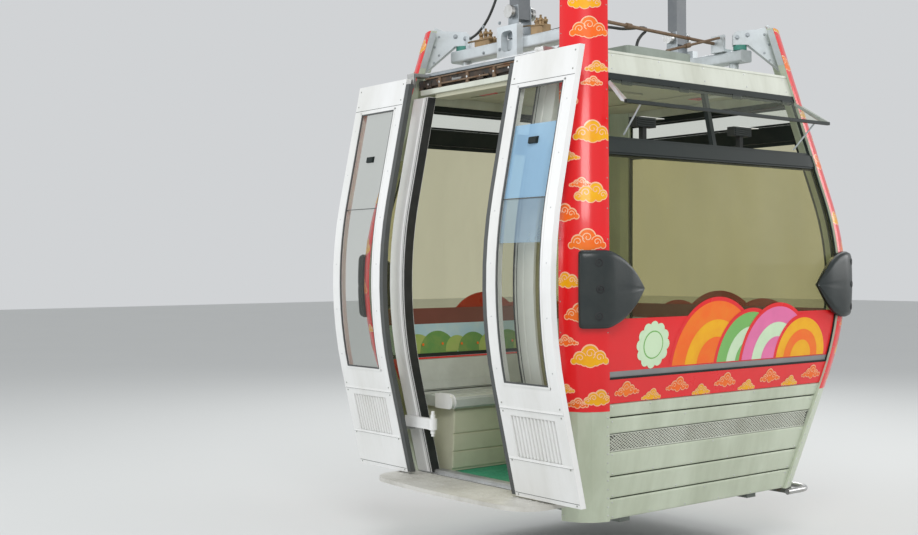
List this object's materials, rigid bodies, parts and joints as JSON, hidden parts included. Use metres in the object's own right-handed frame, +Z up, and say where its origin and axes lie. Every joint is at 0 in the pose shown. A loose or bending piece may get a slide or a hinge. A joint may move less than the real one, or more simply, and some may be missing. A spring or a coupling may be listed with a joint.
{
  "type": "cable car cabin",
  "caption": "Hanging passenger cabin with open two-leaf doorway, bench seats, bumpers, roof beams, hanger yoke and a rope grip with jaw and rollers.",
  "frame": {"origin": "on the rope axis, midway between the jaws of the grip", "axes": "+Y along the rope, +Z up, the doorway on the -X side"},
  "size_m": [2.1744, 1.887, 4.1715],
  "materials": {
    "underbody": "matte, dusty",
    "green_floor": "studded rubber",
    "steel": "worn",
    "red_paint": "glossy film with cloud ornament",
    "cream_paint": "satin, slightly soiled",
    "mesh_plate": "perforated",
    "window": "tinted polycarbonate",
    "dark_frame": "satin",
    "roof_paint": "satin, soiled",
    "door_white": "semi gloss",
    "aluminium": "extruded",
    "rail_brown": "rusty",
    "step_grey": "matte",
    "seal": "matte",
    "ceiling": "matte",
    "bumper_plastic": "moulded",
    "bench_grey": "slatted",
    "roof_gear": "zinc grey",
    "green_rubber": "matte",
    "service_grey": "matte",
    "rod_rust": "rusty",
    "hanger_grey": "galvanised",
    "hose_black": "matte hose",
    "roller": "hard rubber tread"
  },
  "bodies": {
    "grip": {"grip_body": "hanger_grey", "hanger_pin": "steel", "jaw_pin": "steel", "roller_shafts": "steel"},
    "jaw": {"grip_jaw": "steel"},
    "roller_inner": {"grip_roller_inner": "roller"},
    "roller_outer": {"grip_roller_outer": "roller"},
    "cabin": {"floor_pan": "underbody", "floor_mat": "green_floor", "underframe": "underbody", "guide_tube": "steel", "corner_posts": "red_paint", "bottom_panels": "cream_paint", "vent_plates": "mesh_plate", "lower_panels": "cream_paint", "band_panels": "red_paint", "main_windows": "window", "mid_bars": "dark_frame", "top_windows": "window", "top_bars": "dark_frame", "roof_fascias": "roof_paint", "vent_mullions": "dark_frame", "vent_flap_glass": "window", "vent_flap_rails": "dark_frame", "air_inlets": "dark_frame", "door_jambs": "door_white", "quarter_windows": "window", "header_rail": "aluminium", "door_track": "rail_brown", "door_mechanism": "dark_frame", "door_step": "step_grey", "door_sill": "aluminium", "door_leaf_near": "door_white", "door_leaf_far": "door_white", "door_panes": "window", "door_edge_seals": "seal", "door_carriers": "steel", "door_arms": "door_white", "roof_skin": "roof_paint", "ceiling": "ceiling", "corner_bumpers": "bumper_plastic", "bench_bases": "cream_paint", "bench_seats": "bench_grey", "bench_backs": "bench_grey", "roof_beams": "roof_gear", "beam_pedestals": "roof_gear", "shoulder_arms": "roof_gear", "rubber_mounts": "green_rubber", "bracket_boxes": "roof_gear", "pin_lugs": "roof_gear", "carrying_pins": "steel", "service_box": "service_grey", "door_drive_rods": "rod_rust", "rod_posts": "roof_gear", "valve_blocks": "service_grey", "drop_cable": "hose_black", "air_hose": "hose_black", "cable_clamps": "roof_gear", "hanger_yoke": "hanger_grey", "hanger_arm": "hanger_grey"}
  },
  "joints": [
    {"name": "hanger_swing", "type": "hinge", "parent": "grip", "child": "cabin", "pos_m": [0.23, 0, -0.2], "axis": [1, 0, 0], "range_deg": [-30, 30]},
    {"name": "jaw_open", "type": "hinge", "parent": "grip", "child": "jaw", "pos_m": [-0.095, 0, -0.018], "axis": [0, 1, 0], "range_deg": [0, 25]},
    {"name": "roller_inner_spin", "type": "hinge", "parent": "grip", "child": "roller_inner", "pos_m": [-0.19, 0, 0.075], "axis": [1, 0, 0], "continuous": true},
    {"name": "roller_outer_spin", "type": "hinge", "parent": "grip", "child": "roller_outer", "pos_m": [0.336, 0, 0.075], "axis": [1, 0, 0], "continuous": true}
  ]
}
